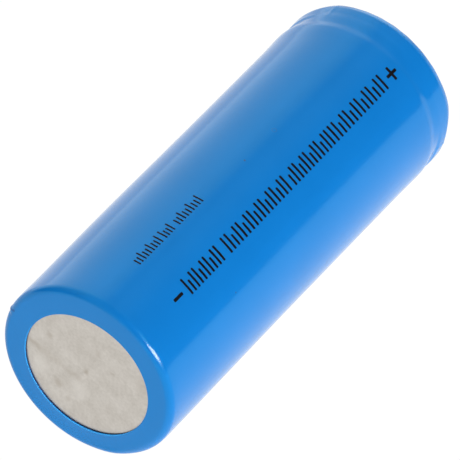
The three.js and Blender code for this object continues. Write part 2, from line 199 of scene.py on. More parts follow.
def mesh_object(name, vertices, faces, material, smooth=True):
    mesh = bpy.data.meshes.new(name)
    mesh.from_pydata([tuple(v) for v in vertices], [], [tuple(f) for f in faces])
    mesh.polygons.foreach_set("use_smooth", [smooth] * len(mesh.polygons))
    if smooth:
        mesh.set_sharp_from_angle(angle=math.radians(34))
    mesh.materials.append(material)
    mesh.validate()
    mesh.update()
    piece = bpy.data.objects.new(name, mesh)
    bpy.context.scene.collection.objects.link(piece)
    return piece


def place(radius, x, angle):
    """A point of the cell in metres, from millimetres and radians."""
    return Vector((x, -radius * math.sin(angle), radius * math.cos(angle))) * MM


def arc(centre_r, centre_x, radius, start, stop, steps):
    """Profile points (radius, x) round a corner, between two angles in degrees."""
    turns = np.radians(np.linspace(start, stop, steps + 1))
    return [(centre_r + radius * math.cos(t), centre_x + radius * math.sin(t)) for t in turns]


def offset_line(line, distance):
    """The profile line moved to its left by a distance."""
    points = np.array(line)
    steps = np.diff(points, axis=0)
    steps /= np.linalg.norm(steps, axis=1)[:, None]
    normals = np.stack([-steps[:, 1], steps[:, 0]], axis=1)
    before = np.vstack([normals[:1], normals])
    after = np.vstack([normals, normals[-1:]])
    mitre = (before + after) / (1 + np.sum(before * after, axis=1))[:, None]
    return [tuple(p) for p in points + distance * mitre]


def round_edge(start, stop, steps=6):
    """Points of a half circle from one profile point to another, bulging to the right."""
    start, stop = np.array(start), np.array(stop)
    middle = (start + stop) / 2
    across = (start - stop) / 2
    out = np.array([-across[1], across[0]])
    turns = np.linspace(0, math.pi, steps + 1)[1:-1]
    return [tuple(middle + across * math.cos(t) + out * math.sin(t)) for t in turns]


def sheet_outline(line, thickness):
    """A closed profile of a sheet whose outer face is the line, with rounded edges."""
    inner = offset_line(line, thickness)
    return [*line, *round_edge(line[-1], inner[-1]), *reversed(inner), *round_edge(inner[0], line[0])]


def turned(name, outline, material, around, shift=None):
    """A closed turned piece, whose outline closes on itself or runs from axis to axis.

    shift(radius, x, angle), if given, moves its points.
    """
    vertices = []
    rows = []
    for radius, x in outline:
        steps = 1 if radius < 1e-6 else around
        rows.append([len(vertices) + k % steps for k in range(around)])
        for k in range(steps):
            angle = 2 * math.pi * k / around
            moved = shift(radius, x, angle) if shift else (radius, x)
            vertices.append(place(moved[0], moved[1], angle))
    faces = []
    on_axis = outline[0][0] < 1e-6
    pairs = zip(rows, rows[1:] if on_axis else rows[1:] + rows[:1])
    for low, high in pairs:
        for k in range(around):
            m = (k + 1) % around
            corners = (low[k], low[m], high[m], high[k])
            faces.append(tuple(dict.fromkeys(corners)))
    return mesh_object(name, vertices, faces, material)


def finish_piece(piece, slot, *replaced):
    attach(piece, "root")
    if replaced:
        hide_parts(*replaced)
    return piece


# ---- Material helpers ----

class Nodes:
    """Shorthand for building a node tree."""

    def __init__(self, tree):
        self.tree = tree
        tree.nodes.clear()

    def add(self, kind, **settings):
        node = self.tree.nodes.new(kind)
        for key, value in settings.items():
            setattr(node, key, value)
        return node

    def put(self, socket, value):
        if isinstance(value, bpy.types.NodeSocket):
            self.tree.links.new(value, socket)
        else:
            socket.default_value = value

    def math(self, operation, *values):
        node = self.add("ShaderNodeMath", operation=operation)
        for socket, value in zip(node.inputs, values):
            self.put(socket, value)
        return node.outputs[0]

    def ramp(self, factor, *stops):
        node = self.add("ShaderNodeValToRGB")
        self.put(node.inputs["Fac"], factor)
        elements = node.color_ramp.elements
        while len(elements) < len(stops):
            elements.new(0.5)
        for element, (position, colour) in zip(elements, stops):
            element.position = position
            element.color = colour
        return node.outputs["Color"]

    def spread(self, value, from_low, from_high, low=0.0, high=1.0, kind="LINEAR"):
        node = self.add("ShaderNodeMapRange", interpolation_type=kind)
        sockets = ("Value", "From Min", "From Max", "To Min", "To Max")
        for name, setting in zip(sockets, (value, from_low, from_high, low, high)):
            self.put(node.inputs[name], setting)
        return node.outputs["Result"]

    def mix(self, factor, first, second, blend="MIX"):
        node = self.add("ShaderNodeMix", data_type="RGBA", blend_type=blend)
        self.put(node.inputs["Factor"], factor)
        self.put(node.inputs[6], first)
        self.put(node.inputs[7], second)
        return node.outputs[2]

    def axes(self, vector):
        """The X, Y and Z of a vector."""
        node = self.add("ShaderNodeSeparateXYZ")
        self.put(node.inputs[0], vector)
        return [node.outputs[axis] for axis in "XYZ"]


class Shader(Nodes):
    """A material with one Principled shader."""

    def __init__(self, name):
        self.material = bpy.data.materials.new(name)
        self.material.use_nodes = True
        super().__init__(self.material.node_tree)
        output = self.add("ShaderNodeOutputMaterial")
        self.surface = self.add("ShaderNodeBsdfPrincipled")
        self.put(output.inputs["Surface"], self.surface.outputs["BSDF"])
        self.place = self.add("ShaderNodeTexCoord").outputs["Object"]

    def set(self, **values):
        for key, value in values.items():
            self.put(self.surface.inputs[key.replace("_", " ")], value)

    def stretch(self, x, y, z):
        node = self.add("ShaderNodeMapping")
        self.put(node.inputs["Vector"], self.place)
        node.inputs["Scale"].default_value = (x, y, z)
        return node.outputs["Vector"]

    def noise(self, scale, detail=4.0, roughness=0.5, vector=None, low=0.3, high=0.7):
        """Noise, whose usual range from low to high is spread over 0 to 1."""
        node = self.add("ShaderNodeTexNoise")
        self.put(node.inputs["Vector"], vector or self.place)
        node.inputs["Scale"].default_value = scale
        node.inputs["Detail"].default_value = detail
        node.inputs["Roughness"].default_value = roughness
        return self.spread(node.outputs["Fac"], low, high)

    def near(self, point, radius, soft=0.5):
        """One at a place of the object, given in metres, falling to zero at a radius in metres."""
        apart = self.add("ShaderNodeVectorMath", operation="DISTANCE")
        self.put(apart.inputs[0], self.place)
        apart.inputs[1].default_value = point
        return self.spread(apart.outputs["Value"], radius, radius * (1 - soft), kind="SMOOTHSTEP")

    def bump(self, height, strength, distance):
        node = self.add("ShaderNodeBump")
        self.put(node.inputs["Height"], height)
        node.inputs["Strength"].default_value = strength
        node.inputs["Distance"].default_value = distance
        self.put(self.surface.inputs["Normal"], node.outputs["Normal"])


def grey(value):
    return (value, value, value, 1.0)


def rgb(red, green, blue):
    return (red, green, blue, 1.0)


def on_film(x, turn):
    """A place on the barrel in metres, from millimetres along it and degrees round it."""
    return place(BARREL_R, x, math.radians(turn))


# ---- Materials ----

FILM_BLUES = (rgb(0.0062, 0.199, 0.620), rgb(0.0070, 0.211, 0.650))
FILM_TINT = rgb(0.23, 1, 1)            # the film's gloss has little red
FILM_GLOSS = (0.125, 0.155)
# painted highlight on the rim of the film's cut edge
CUT_RIM_PAINTED_HIGHLIGHT = rgb(0.035, 0.38, 0.95)
# painted shade inside the film's cut edge
CUT_INSIDE_PAINTED_SHADE = rgb(0.002, 0.055, 0.240)
# painted shade in the bottom of the small fold
CREASE_PAINTED_SHADE = rgb(0.002, 0.088, 0.380)
SPECK_BLUE = rgb(0.05, 0.13, 0.30)
RING_BLUE = rgb(0.05, 0.16, 0.42)

# Dust on the film: place along the cell, angle round it in degrees, and size in millimetres
SPECKS = [(23.8, 11.0, 0.14), (12.4, 62.0, 0.10), (31.0, 150.0, 0.12)]

# A faint ring in the film: its place, its size and its inner edge as a share of that
RING = (28.9, 10.8)
RING_R = 0.34
RING_INSIDE = 0.72
RING_STRENGTH = 0.6

# The film's cut edge, which curls up from the base in one direction. The rim is its outer part and carries
# a painted highlight; further in, the edge carries painted shade.
CURL_TURN = math.radians(212.0)
CURL_SPAN = 0.45                       # the curl is full at this share of the hole's radius
CUT_EDGE_R = (BASE_HOLE_R + 0.17, BASE_HOLE_R + 0.10)
CUT_RIM_X = (-0.105, -0.13)
CUT_ROUGHNESS = 0.5

# Painted shade in the bottom of the small fold: radius, place along the cell and angle of points along it
CREASE = [(9.13, 0.46, -66.0), (9.06, 0.30, -66.6), (8.95, 0.14, -66.0), (8.80, 0.04, -65.0),
          (8.68, -0.02, -64.2)]
CREASE_WIDE = 0.19

# Stains on the base disc: y and z of the middle, size in millimetres, and strength.
# The rub mark is a row of spots, stronger where it starts.
RUB_MARK = [(6.2 - 0.5 * i, 1.1 - 0.21 * i, 0.60, 0.38 if i < 3 else 0.17) for i in range(12)]
STAINS = [
    *RUB_MARK, (0.1, 0.0, 0.45, 0.6), (3.9, 2.6, 0.55, 0.45), (3.1, -2.6, 0.80, 0.45),
    (-2.9, 1.2, 0.35, 0.40), (-1.2, 2.9, 0.45, 0.3), (2.1, -4.2, 0.5, 0.3), (-6.2, 1.0, 1.6, 0.25),
]
WORN_BRIGHT = [(5.0, -1.3, 1.5, 0.5), (3.6, -4.2, 0.9, 0.3), (0.9, -2.6, 1.6, 0.35)]
RAGGED = 0.9                           # how far the stains' outlines wander, in millimetres
WORN_COLOUR = rgb(0.70, 0.67, 0.62)
STAIN_COLOUR = rgb(0.38, 0.33, 0.27)


# This mask carries the cut edge's painted highlight and painted shade, and also its matte roughness
def curled_edge(shader, x, y, z):
    """One on the cut edge of the film at the base where it curls up, zero elsewhere."""
    hole_z = shader.math("ADD", z, HOLE_LOWER * MM)
    squares = [shader.math("POWER", side, 2.0) for side in (y, hole_z)]
    hole_r = shader.math("SQRT", shader.math("ADD", *squares))
    at_hole = shader.spread(hole_r, *[limit * MM for limit in CUT_EDGE_R])
    at_base = shader.math("LESS_THAN", x, 0.0)
    across = shader.math("MULTIPLY", y, -math.sin(CURL_TURN))
    upward = shader.math("MULTIPLY", z, math.cos(CURL_TURN))
    curled = shader.spread(shader.math("ADD", across, upward), 0.0, CURL_SPAN * BASE_HOLE_R * MM)
    return shader.math("MULTIPLY", shader.math("MULTIPLY", at_hole, at_base), curled)


def sleeve_material():
    """Glossy blue PVC film with faint colour drift and drawing streaks.

    Its curled cut edge has a painted highlight on its rim and painted shade inside. It also has painted
    shade in the bottom of the small fold, a few dust specks and a faint ring.
    """
    shader = Shader("sleeve_film")
    x, y, z = shader.axes(shader.place)
    cut_edge = curled_edge(shader, x, y, z)
    rim_low, rim_high = [limit * MM for limit in CUT_RIM_X]
    # painted highlight on the cut edge's rim, and painted shade inside it
    rim_highlight = shader.math("MULTIPLY", cut_edge, shader.spread(x, rim_low, rim_high))
    inside_shade = shader.math("MULTIPLY", cut_edge, shader.spread(x, rim_high, rim_low))
    colour = shader.mix(shader.noise(140, detail=3), *FILM_BLUES)
    colour = shader.mix(rim_highlight, colour, CUT_RIM_PAINTED_HIGHLIGHT)
    colour = shader.mix(inside_shade, colour, CUT_INSIDE_PAINTED_SHADE)
    # painted shade along the bottom of the small fold
    for crease_r, crease_x, turn in CREASE:
        crease_shade = shader.near(place(crease_r, crease_x, math.radians(turn)), CREASE_WIDE * MM, soft=0.7)
        colour = shader.mix(crease_shade, colour, CREASE_PAINTED_SHADE)
    for speck_x, turn, size in SPECKS:
        colour = shader.mix(shader.near(on_film(speck_x, turn), size * MM), colour, SPECK_BLUE)
    outer = shader.near(on_film(*RING), RING_R * MM)
    inner = shader.near(on_film(*RING), RING_INSIDE * RING_R * MM)
    ring = shader.math("MULTIPLY", shader.math("SUBTRACT", outer, inner), RING_STRENGTH)
    colour = shader.mix(ring, colour, RING_BLUE)
    streaks = shader.noise(1, detail=2, vector=shader.stretch(40, 900, 900))
    shader.set(Base_Color=colour, IOR=1.5, Specular_Tint=FILM_TINT)
    gloss = shader.spread(streaks, 0.0, 1.0, *FILM_GLOSS)
    matte = shader.math("MULTIPLY", cut_edge, CUT_ROUGHNESS)
    shader.set(Roughness=shader.math("MAXIMUM", gloss, matte))
    shader.bump(shader.noise(300, detail=2, low=0.0, high=1.0), strength=0.03, distance=0.0001)
    return shader.material


def steel_material():
    """Nickel-plated steel with the soft mottling, a rub mark and the few stains of a handled base."""
    shader = Shader("can_steel")
    fine = shader.noise(3000, detail=5, roughness=0.6)
    broad = shader.noise(650, detail=3)
    mottle = shader.mix(0.5, fine, broad)
    colour = shader.ramp(mottle, (0.0, rgb(0.480, 0.447, 0.400)), (1.0, rgb(0.665, 0.631, 0.584)))
    wander = shader.add("ShaderNodeTexNoise")
    wander.inputs["Scale"].default_value = 900
    shader.put(wander.inputs["Vector"], shader.place)
    ragged = shader.add("ShaderNodeVectorMath", operation="MULTIPLY_ADD")
    shader.put(ragged.inputs[0], wander.outputs["Color"])
    ragged.inputs[1].default_value = (0, RAGGED * MM, RAGGED * MM)
    shader.put(ragged.inputs[2], shader.place)
    shader.place = ragged.outputs[0]
    for patches, tone in ((WORN_BRIGHT, WORN_COLOUR), (STAINS, STAIN_COLOUR)):
        for y, z, size, strength in patches:
            middle = Vector((0, y + RAGGED / 2, z + RAGGED / 2)) * MM
            share = shader.math("MULTIPLY", shader.near(middle, size * MM, soft=0.9), strength)
            colour = shader.mix(share, colour, tone)
    shader.set(Base_Color=colour, Metallic=1.0)
    shader.set(Roughness=shader.spread(mottle, 0.0, 1.0, 0.34, 0.46))
    shader.bump(fine, strength=0.06, distance=0.00004)
    return shader.material


def cap_material():
    """Nickel plate on a stamped cap: brighter, with short fine scratches."""
    shader = Shader("cap_plate")
    grain = shader.noise(2200, detail=4)
    scratch = shader.noise(1, detail=3, vector=shader.stretch(500, 300, 4000), low=0.35, high=0.65)
    wear = shader.mix(0.5, grain, scratch)
    colour = shader.ramp(wear, (0.0, rgb(0.60, 0.57, 0.53)), (1.0, rgb(0.72, 0.69, 0.64)))
    shader.set(Base_Color=colour, Metallic=1.0)
    shader.set(Roughness=shader.spread(wear, 0.0, 1.0, 0.26, 0.40))
    shader.bump(wear, strength=0.05, distance=0.00004)
    return shader.material


def fibre_material():
    """Pressed white fibre: matte, with fine felted flecks."""
    shader = Shader("washer_fibre")
    felt = shader.noise(2600, detail=8, roughness=0.65)
    blot = shader.noise(500, detail=3)
    colour = shader.mix(shader.mix(0.4, felt, blot), rgb(0.66, 0.64, 0.58), rgb(0.78, 0.77, 0.72))
    shader.set(Base_Color=colour, Roughness=shader.spread(felt, 0.0, 1.0, 0.78, 0.92))
    shader.bump(felt, strength=0.25, distance=0.00006)
    return shader.material


def ink_material():
    """Black print: a thin dense layer, a little uneven."""
    shader = Shader("print_ink")
    grain = shader.noise(3000, detail=4)
    colour = shader.mix(grain, rgb(0.0050, 0.0045, 0.0055), rgb(0.0085, 0.0080, 0.0095))
    shader.set(Base_Color=colour, Specular_IOR_Level=0.15)
    shader.set(Roughness=shader.spread(grain, 0.0, 1.0, 0.36, 0.48))
    shader.bump(grain, strength=0.05, distance=0.00002)
    return shader.material


def moulded_material(name, dark, light, roughness, scale):
    """Moulded or pasted matte matter with a fine grain."""
    shader = Shader(name)
    grain = shader.noise(scale, detail=6, roughness=0.6)
    broad = shader.noise(scale / 6, detail=2)
    shader.set(Base_Color=shader.mix(shader.mix(0.4, grain, broad), rgb(*dark), rgb(*light)))
    shader.set(Roughness=shader.spread(grain, 0.0, 1.0, roughness - 0.07, roughness + 0.07))
    shader.bump(grain, strength=0.15, distance=0.00004)
    return shader.material


def rolled_material(name, dark, light, roughness):
    """Rolled foil or strip: fine lines along the cell."""
    shader = Shader(name)
    lines = shader.noise(1, detail=4, vector=shader.stretch(150, 2600, 2600))
    shader.set(Base_Color=shader.mix(lines, rgb(*dark), rgb(*light)), Metallic=1.0)
    shader.set(Roughness=shader.spread(lines, 0.0, 1.0, roughness - 0.06, roughness + 0.06))
    shader.bump(lines, strength=0.08, distance=0.00003)
    return shader.material


sleeve_film = sleeve_material()
can_steel = steel_material()
cap_plate = cap_material()
washer_fibre = fibre_material()
print_ink = ink_material()

# The hidden pieces' slots: name, dark and light colour, roughness, and the grain's scale
MOULDED = {
    "gasket_black": ("gasket_polymer", (0.011, 0.011, 0.013), (0.020, 0.020, 0.022), 0.55, 1500),
    "ptc_polymer": ("ptc_carbon", (0.013, 0.013, 0.013), (0.028, 0.027, 0.026), 0.7, 1500),
    "insulator_white": ("insulator_polymer", (0.62, 0.62, 0.58), (0.74, 0.74, 0.71), 0.5, 1500),
    "separator_film": ("separator", (0.80, 0.80, 0.78), (0.88, 0.88, 0.87), 0.6, 900),
    "cathode_paste": ("cathode_coating", (0.010, 0.011, 0.013), (0.024, 0.026, 0.029), 0.85, 2500),
    "anode_paste": ("anode_coating", (0.028, 0.030, 0.033), (0.055, 0.058, 0.062), 0.8, 2500),
    "tape_amber": ("polyimide_tape", (0.42, 0.17, 0.012), (0.52, 0.22, 0.020), 0.3, 700),
}
ROLLED = {
    "vent_aluminium": ("vent_sheet", (0.62, 0.63, 0.64), (0.76, 0.77, 0.78), 0.36),
    "foil_aluminium": ("aluminium_foil", (0.66, 0.67, 0.68), (0.80, 0.81, 0.82), 0.30),
    "foil_copper": ("copper_foil", (0.55, 0.20, 0.085), (0.68, 0.27, 0.12), 0.32),
    "strip_nickel": ("nickel_strip", (0.50, 0.47, 0.41), (0.60, 0.56, 0.50), 0.34),
    "pin_steel": ("pin_plate", (0.48, 0.46, 0.43), (0.60, 0.58, 0.54), 0.30),
}
hidden_materials = {
    **{slot: moulded_material(*look) for slot, look in MOULDED.items()},
    **{slot: rolled_material(*look) for slot, look in ROLLED.items()},
}
for subpart in frame["record"]["subparts"]:
    if subpart["material_slot"] in hidden_materials:
        for slot in nodes[subpart["node"]].material_slots:
            slot.material = hidden_materials[subpart["material_slot"]]


# ---- Sleeve ----

def bell(value, height, middle, reach):
    """A smooth bell."""
    return height * math.exp(-((value - middle) / reach) ** 2)


def smooth_step(value, low, high):
    share = min(1.0, max(0.0, (value - low) / (high - low)))
    return share * share * (3 - 2 * share)


def towards(angle, turn):
    """One in a direction round the cell, given in degrees, falling to zero behind it."""
    return (1 + math.cos(angle - math.radians(turn))) / 2


def turn_between(angle, turn):
    """The signed angle in radians from a direction given in degrees."""
    return (angle - math.radians(turn) + math.pi) % (2 * math.pi) - math.pi


def looseness(x, angle):
    """How far the film stands off the barrel's radius."""
    lower = towards(angle, LOWER_SIDE) ** 3
    upper = towards(angle, UPPER_SIDE)
    slack = SLACK_BELOW * smooth_step(x, *SLACK_START_X) * (1 - smooth_step(x, *SLACK_FADE_X))
    tight = TIGHT_BELOW * smooth_step(x, *TIGHT_X)
    loose = lower * (slack - tight) + upper ** 3 * bell(x, *SLACK_UPPER) + upper * bell(x, *SLACK_LIP)
    return (1 - smooth_step(x, *SLACK_ENDS_X)) * loose


def fold(x, angle):
    """A sharp pinch with a raised lip beside it."""
    aside = turn_between(angle, FOLD_TURN) * BARREL_R
    return bell(x, *FOLD_ALONG) * (bell(aside, *FOLD_LIP) + bell(aside, *FOLD_BOTTOM))


def fallen(x, falls):
    """How far the film has fallen at a place along the cell."""
    return sum(drop * smooth_step(x, start, stop) for drop, start, stop in falls)


def flared(x):
    """The barrel's radius, which grows a little beside the groove."""
    return BODY_R + (BARREL_R - BODY_R) * smooth_step(x, *FLARE_X)


def barrel_radius(x, angle):
    """Outer radius of the film along the barrel."""
    return flared(x) + looseness(x, angle) + end_relief(x, angle)


def base_line():
    """The film over the base, from the hole's edge out to the corner."""
    flat_r = BODY_R - BASE_CORNER_R
    shares = np.linspace(1, 0, 13)[:-1]
    rise = BASE_FACE_X - LIP_X
    return [(flat_r - (flat_r - BASE_HOLE_R) * u, BASE_FACE_X - rise * u * u) for u in shares]


def sleeve_line():
    """The film's outer face: base, barrel, groove, crimp and the turned-in top."""
    barrel = np.linspace(BASE_FACE_X + BASE_CORNER_R, FLARE_X[0], 80)
    flare = np.linspace(FLARE_X[0], GROOVE_X[0], 20)
    groove = np.linspace(*GROOVE_X, 52)
    crimp = np.linspace(GROOVE_X[1], SHOULDER_X - CRIMP_CORNER_LONG, 12)
    top = np.linspace(CRIMP_R - TOP_CORNER_R, TOP_HOLE_R, 8)
    stretch = CRIMP_CORNER_LONG / TOP_CORNER_R
    corner = arc(CRIMP_R - TOP_CORNER_R, 0, TOP_CORNER_R, 0, 90, 32)
    return [
        *base_line(),
        *arc(BODY_R - BASE_CORNER_R, BASE_FACE_X + BASE_CORNER_R, BASE_CORNER_R, -90, 0, 24),
        *[(BODY_R, x) for x in barrel[1:-1]],
        *[(flared(x), x) for x in flare[:-1]],
        *[(BARREL_R - fallen(x, GROOVE_ABOVE), x) for x in groove],
        *[(CRIMP_R, x) for x in crimp[1:-1]],
        *[(r, SHOULDER_X - CRIMP_CORNER_LONG + x * stretch) for r, x in corner],
        *[(r, SHOULDER_X) for r in top[1:]],
    ]


def end_lean(angle, leans, swells):
    """How far an end of the sleeve leans and swells along the cell in a direction."""
    lean = sum(size * towards(angle, turn) ** sharpness for size, turn, sharpness in leans)
    return lean + sum(bell(turn_between(angle, turn), size, 0.0, reach) for size, turn, reach in swells)


def end_shift(radius, x, angle):
    """How far the sleeve's two ends are moved along the cell."""
    top_share = smooth_step(x, *TOP_SHIFT_X)
    base_share = smooth_step(radius, *BASE_SHIFT_R) * (1 - smooth_step(x, *BASE_SHIFT_X))
    top = end_lean(angle, TOP_LEANS, TOP_SWELLS)
    base = end_lean(angle, BASE_LEANS, BASE_SWELLS)
    return top_share * top + base_share * base


def end_relief(x, angle):
    """How the film over the groove and the crimp differs round the cell, with its ridge and pleats."""
    off_middle = abs(math.degrees(turn_between(angle, FACING)))
    sag = smooth_step(off_middle, *ASIDE_TURNS) * (fallen(x, GROOVE_ASIDE) - fallen(x, GROOVE_ABOVE))
    upper = towards(angle, UPPER_SIDE) ** 3 * sum(bell(x, *wave) for wave in GROOVE_UPPER)
    along = smooth_step(x, *PLEAT_START_X) * (1 - smooth_step(x, *PLEAT_END_X))
    beside = [turn_between(angle, turn) * CRIMP_R for turn in PLEAT_TURNS]
    pleats = along * sum(bell(apart, PLEAT, 0.0, PLEAT_REACH) for apart in beside)
    return upper - sag + bell(x, *RIDGE) + pleats


def hole_shift(radius, x, angle):
    """How far the film is moved out and along the cell near the edge of its hole at the base."""
    edge_share = 1 - smooth_step(radius, BASE_HOLE_R, BASE_HOLE_R + HOLE_EDGE)
    waves = sum(size * math.cos(number * (angle - math.radians(turn))) for size, turn, number in HOLE_WAVES)
    thicker = EDGE_THICKER * towards(angle, EDGE_THICK_TURN) ** 2 * smooth_step(x, *EDGE_INSIDE_X)
    pressed = EDGE_PRESSED * (1 - towards(angle, EDGE_CURL_TURN))
    return edge_share * (HOLE_WIDER + waves), edge_share * (thicker + pressed)


def sleeve_shift(radius, x, angle):
    """The film's unevenness: slack, a fold, a hole that isn't quite round, puckers on the washer."""
    out_share = smooth_step(radius, BARREL_R - 1.3, BARREL_R - 0.3)
    moved_r = radius + out_share * (looseness(x, angle) + end_relief(x, angle))
    moved_r += fold(x, angle) * smooth_step(radius, *BASE_SHIFT_R)
    moved_x = x + end_shift(radius, x, angle)
    if x < 0.05 and radius < BODY_R:
        out, along = hole_shift(radius, x, angle)
        moved_r += out
        moved_x += along
    flat_share = smooth_step(x, SHOULDER_X - PUCKER_FROM, SHOULDER_X - PUCKER_FULL)
    pucker = flat_share * (0.5 + 0.5 * math.sin(PUCKERS * angle + 2 * math.sin(3 * angle)))
    return moved_r, moved_x - PUCKER_DEPTH * pucker


def shrink_sleeve():
    outline = sheet_outline(sleeve_line(), FILM)
    piece = turned("sleeve", outline, sleeve_film, SLEEVE_FACETS, shift=sleeve_shift)
    return finish_piece(piece, "sleeve_blue", "shrink_sleeve")


# ---- Can ----

def steel_can():
    corner = BASE_CORNER_R - FILM
    run = BEAD_R + BEAD_EDGE_R
    crimp_r = CAN_R - CRIMP_IN
    top_corner = TOP_CORNER_R - FILM
    line = [
        *[(r, 0.0) for r in np.linspace(0.0, CAN_R - corner, 20)[:-1]],
        *arc(CAN_R - corner, corner, corner, -90, 0, 8),
        *arc(CAN_R - BEAD_EDGE_R, BEAD_X - run, BEAD_EDGE_R, 0, 90, 8),
        *arc(CAN_R - BEAD_DEPTH + BEAD_R, BEAD_X, BEAD_R, 270, 90, 12),
        *arc(crimp_r - BEAD_EDGE_R, BEAD_X + run, BEAD_EDGE_R, -90, 0, 8),
        *arc(crimp_r - top_corner, CAN_TOP_X - top_corner, top_corner, 0, 90, 8),
        (CAN_LIP_R, CAN_TOP_X),
    ]
    inner = offset_line(line, CAN_WALL)
    outline = [*line, *round_edge(line[-1], inner[-1]), *reversed(inner)]
    piece = turned("can", outline, can_steel, PLAIN_FACETS)
    return finish_piece(piece, "can_nickel", "steel_can")


# ---- Positive end ----

def washer():
    edge = WASHER_EDGE_R
    outline = [
        *arc(WASHER_HOLE_R + edge, WASHER_TOP_X - edge, edge, 90, 180, 4),
        *arc(WASHER_HOLE_R + edge, WASHER_LOW_X + edge, edge, 180, 270, 4),
        *arc(WASHER_R - edge, WASHER_LOW_X + edge, edge, 270, 360, 4),
        *arc(WASHER_R - edge, WASHER_TOP_X - edge, edge, 0, 90, 4),
    ]
    piece = turned("fibre_washer", outline, washer_fibre, PLAIN_FACETS)
    return finish_piece(piece, "washer_fibre", "top_washer")


def cap_line():
    """The outer face of the stamped cap, from its brim up to the middle of its top."""
    brim_x = BRIM_X + CAP_SHEET
    foot_r = CAP_FOOT_R + 2 * CAP_BEND
    flat_r = CAP_FLAT_R + CAP_SHEET - CAP_TOP_BEND
    slope = math.degrees(math.atan2(CAP_FOOT_R - CAP_FLAT_R, CAP_TOP_X - brim_x))
    return [
        *[(r, brim_x) for r in np.linspace(BRIM_R, foot_r, 6)],
        *arc(foot_r, brim_x + CAP_BEND, CAP_BEND, 270, 180 + slope, 6)[1:],
        *arc(flat_r, CAP_TOP_X - CAP_TOP_BEND, CAP_TOP_BEND, slope, 90, 8),
        *[(r, CAP_TOP_X) for r in np.linspace(flat_r, 0.0, 16)[1:]],
    ]


def cut_line(line, places):
    """The profile line with points added where it crosses these places along the cell."""
    rows = []
    for (r0, x0), (r1, x1) in zip(line, line[1:]):
        rows.append((r0, x0))
        for x in places:
            if min(x0, x1) < x < max(x0, x1):
                share = (x - x0) / (x1 - x0)
                rows.append((r0 + (r1 - r0) * share, x))
    rows.append(line[-1])
    return np.array(rows)


def positive_cap():
    """The cap's sheet as a grid, with the four gas windows left out and walled."""
    window_long, window_round = CAP_WINDOW
    window_x = (SHOULDER_X + CAP_TOP_X) / 2
    low_x, high_x = window_x - window_long / 2, window_x + window_long / 2
    rows = cut_line(cap_line(), (low_x, high_x))
    inner = np.array(offset_line(rows, CAP_SHEET))
    inner[-1][0] = 0.0
    half = round(window_round / CAP_FLAT_R / (2 * math.pi) * CAP_FACETS / 2)
    pitch = CAP_FACETS // CAP_WINDOWS
    last = len(rows) - 1
    vertices = []
    faces = []
    index = {}

    def vertex(side, i, k):
        radius, x = (rows, inner)[side][i]
        key = (side, i, 0 if radius < 1e-6 else k % CAP_FACETS)
        if key not in index:
            index[key] = len(vertices)
            vertices.append(place(radius, x, 2 * math.pi * key[2] / CAP_FACETS))
        return index[key]

    def is_open(i, k):
        middle_x = (rows[i][1] + rows[i + 1][1]) / 2
        step = (k + pitch // 2) % pitch - pitch // 2
        return low_x < middle_x < high_x and -half <= step < half

    def face(*corners):
        """Adds a face, from corners that are each a side, a row and a step round the cap."""
        unique = tuple(dict.fromkeys(vertex(*corner) for corner in corners))
        if len(unique) > 2:
            faces.append(unique)

    for i in range(last):
        for k in range(CAP_FACETS):
            if is_open(i, k):
                continue
            j, m = i + 1, k + 1
            face((0, i, k), (0, j, k), (0, j, m), (0, i, m))
            face((1, i, k), (1, i, m), (1, j, m), (1, j, k))
            if i == 0 or is_open(i - 1, k):
                face((0, i, k), (0, i, m), (1, i, m), (1, i, k))
            if i < last - 1 and is_open(j, k):
                face((0, j, m), (0, j, k), (1, j, k), (1, j, m))
            if is_open(i, k - 1):
                face((0, j, k), (0, i, k), (1, i, k), (1, j, k))
            if is_open(i, m):
                face((0, i, m), (0, j, m), (1, j, m), (1, i, m))
    piece = mesh_object("positive_cap", vertices, faces, cap_plate)
    return finish_piece(piece, "cap_nickel", "top_cap")


# ---- Printed marks ----

def ink_bar(x, turn, width, height, vertices, faces):
    """Adds one bar of ink to a mesh: width along the cell, height round it, with rounded ends."""
    corner = min(width, height) * BAR_CORNER
    ends = corner * (1 - np.cos(np.radians([0, 30, 60, 90])))
    middle = np.linspace(corner, height - corner, max(2, round(height / 0.15)))[1:-1]
    stations = [*ends, *middle, *(height - ends[::-1])]
    first = len(vertices)
    for s in stations:
        into = max(0.0, corner - min(s, height - s))
        half = width / 2 - corner + math.sqrt(max(corner ** 2 - into ** 2, 1e-8))
        angle = turn + (s - height / 2) / BARREL_R
        for side, rise in ((-1, INK_RISE), (1, INK_RISE), (1, -INK_DEPTH), (-1, -INK_DEPTH)):
            edge_x = x + side * half
            vertices.append(place(barrel_radius(edge_x, angle) + rise, edge_x, angle))
    for i in range(len(stations) - 1):
        a = first + 4 * i
        b = a + 4
        for k in range(4):
            m = (k + 1) % 4
            faces.append((a + k, b + k, b + m, a + m))
    faces.append((first, first + 1, first + 2, first + 3))
    end = first + 4 * (len(stations) - 1)
    faces.append((end + 3, end + 2, end + 1, end))


def ink_piece(name, bars):
    """One printed piece, from bars given as x, turn in degrees, width and height."""
    vertices, faces = [], []
    for x, turn, width, height in bars:
        ink_bar(x, math.radians(turn), width, height, vertices, faces)
    piece = mesh_object(name, vertices, faces, print_ink)
    return finish_piece(piece, "print_black")


def bar_row(groups, pitch, stroke, height, turn, drift, short):
    """Bars along the cell in groups, given by where each starts and stops.

    The row starts with its middle at a turn in degrees and drifts by so many degrees for each
    millimetre. In every three bars, those listed as short are less high.
    """
    bars = []
    for start, stop in groups:
        count = round((start - stop) / pitch) + 1
        for i, x in enumerate(np.linspace(start - stroke / 2, stop + stroke / 2, count)):
            tall = height * (SHORT_SHARE if i % 3 in short else 1.0)
            foot = turn + drift * (groups[0][0] - x) + math.degrees(height / 2 / BARREL_R)
            bars.append((x, foot - math.degrees(tall / 2 / BARREL_R), stroke, tall))
    return bars


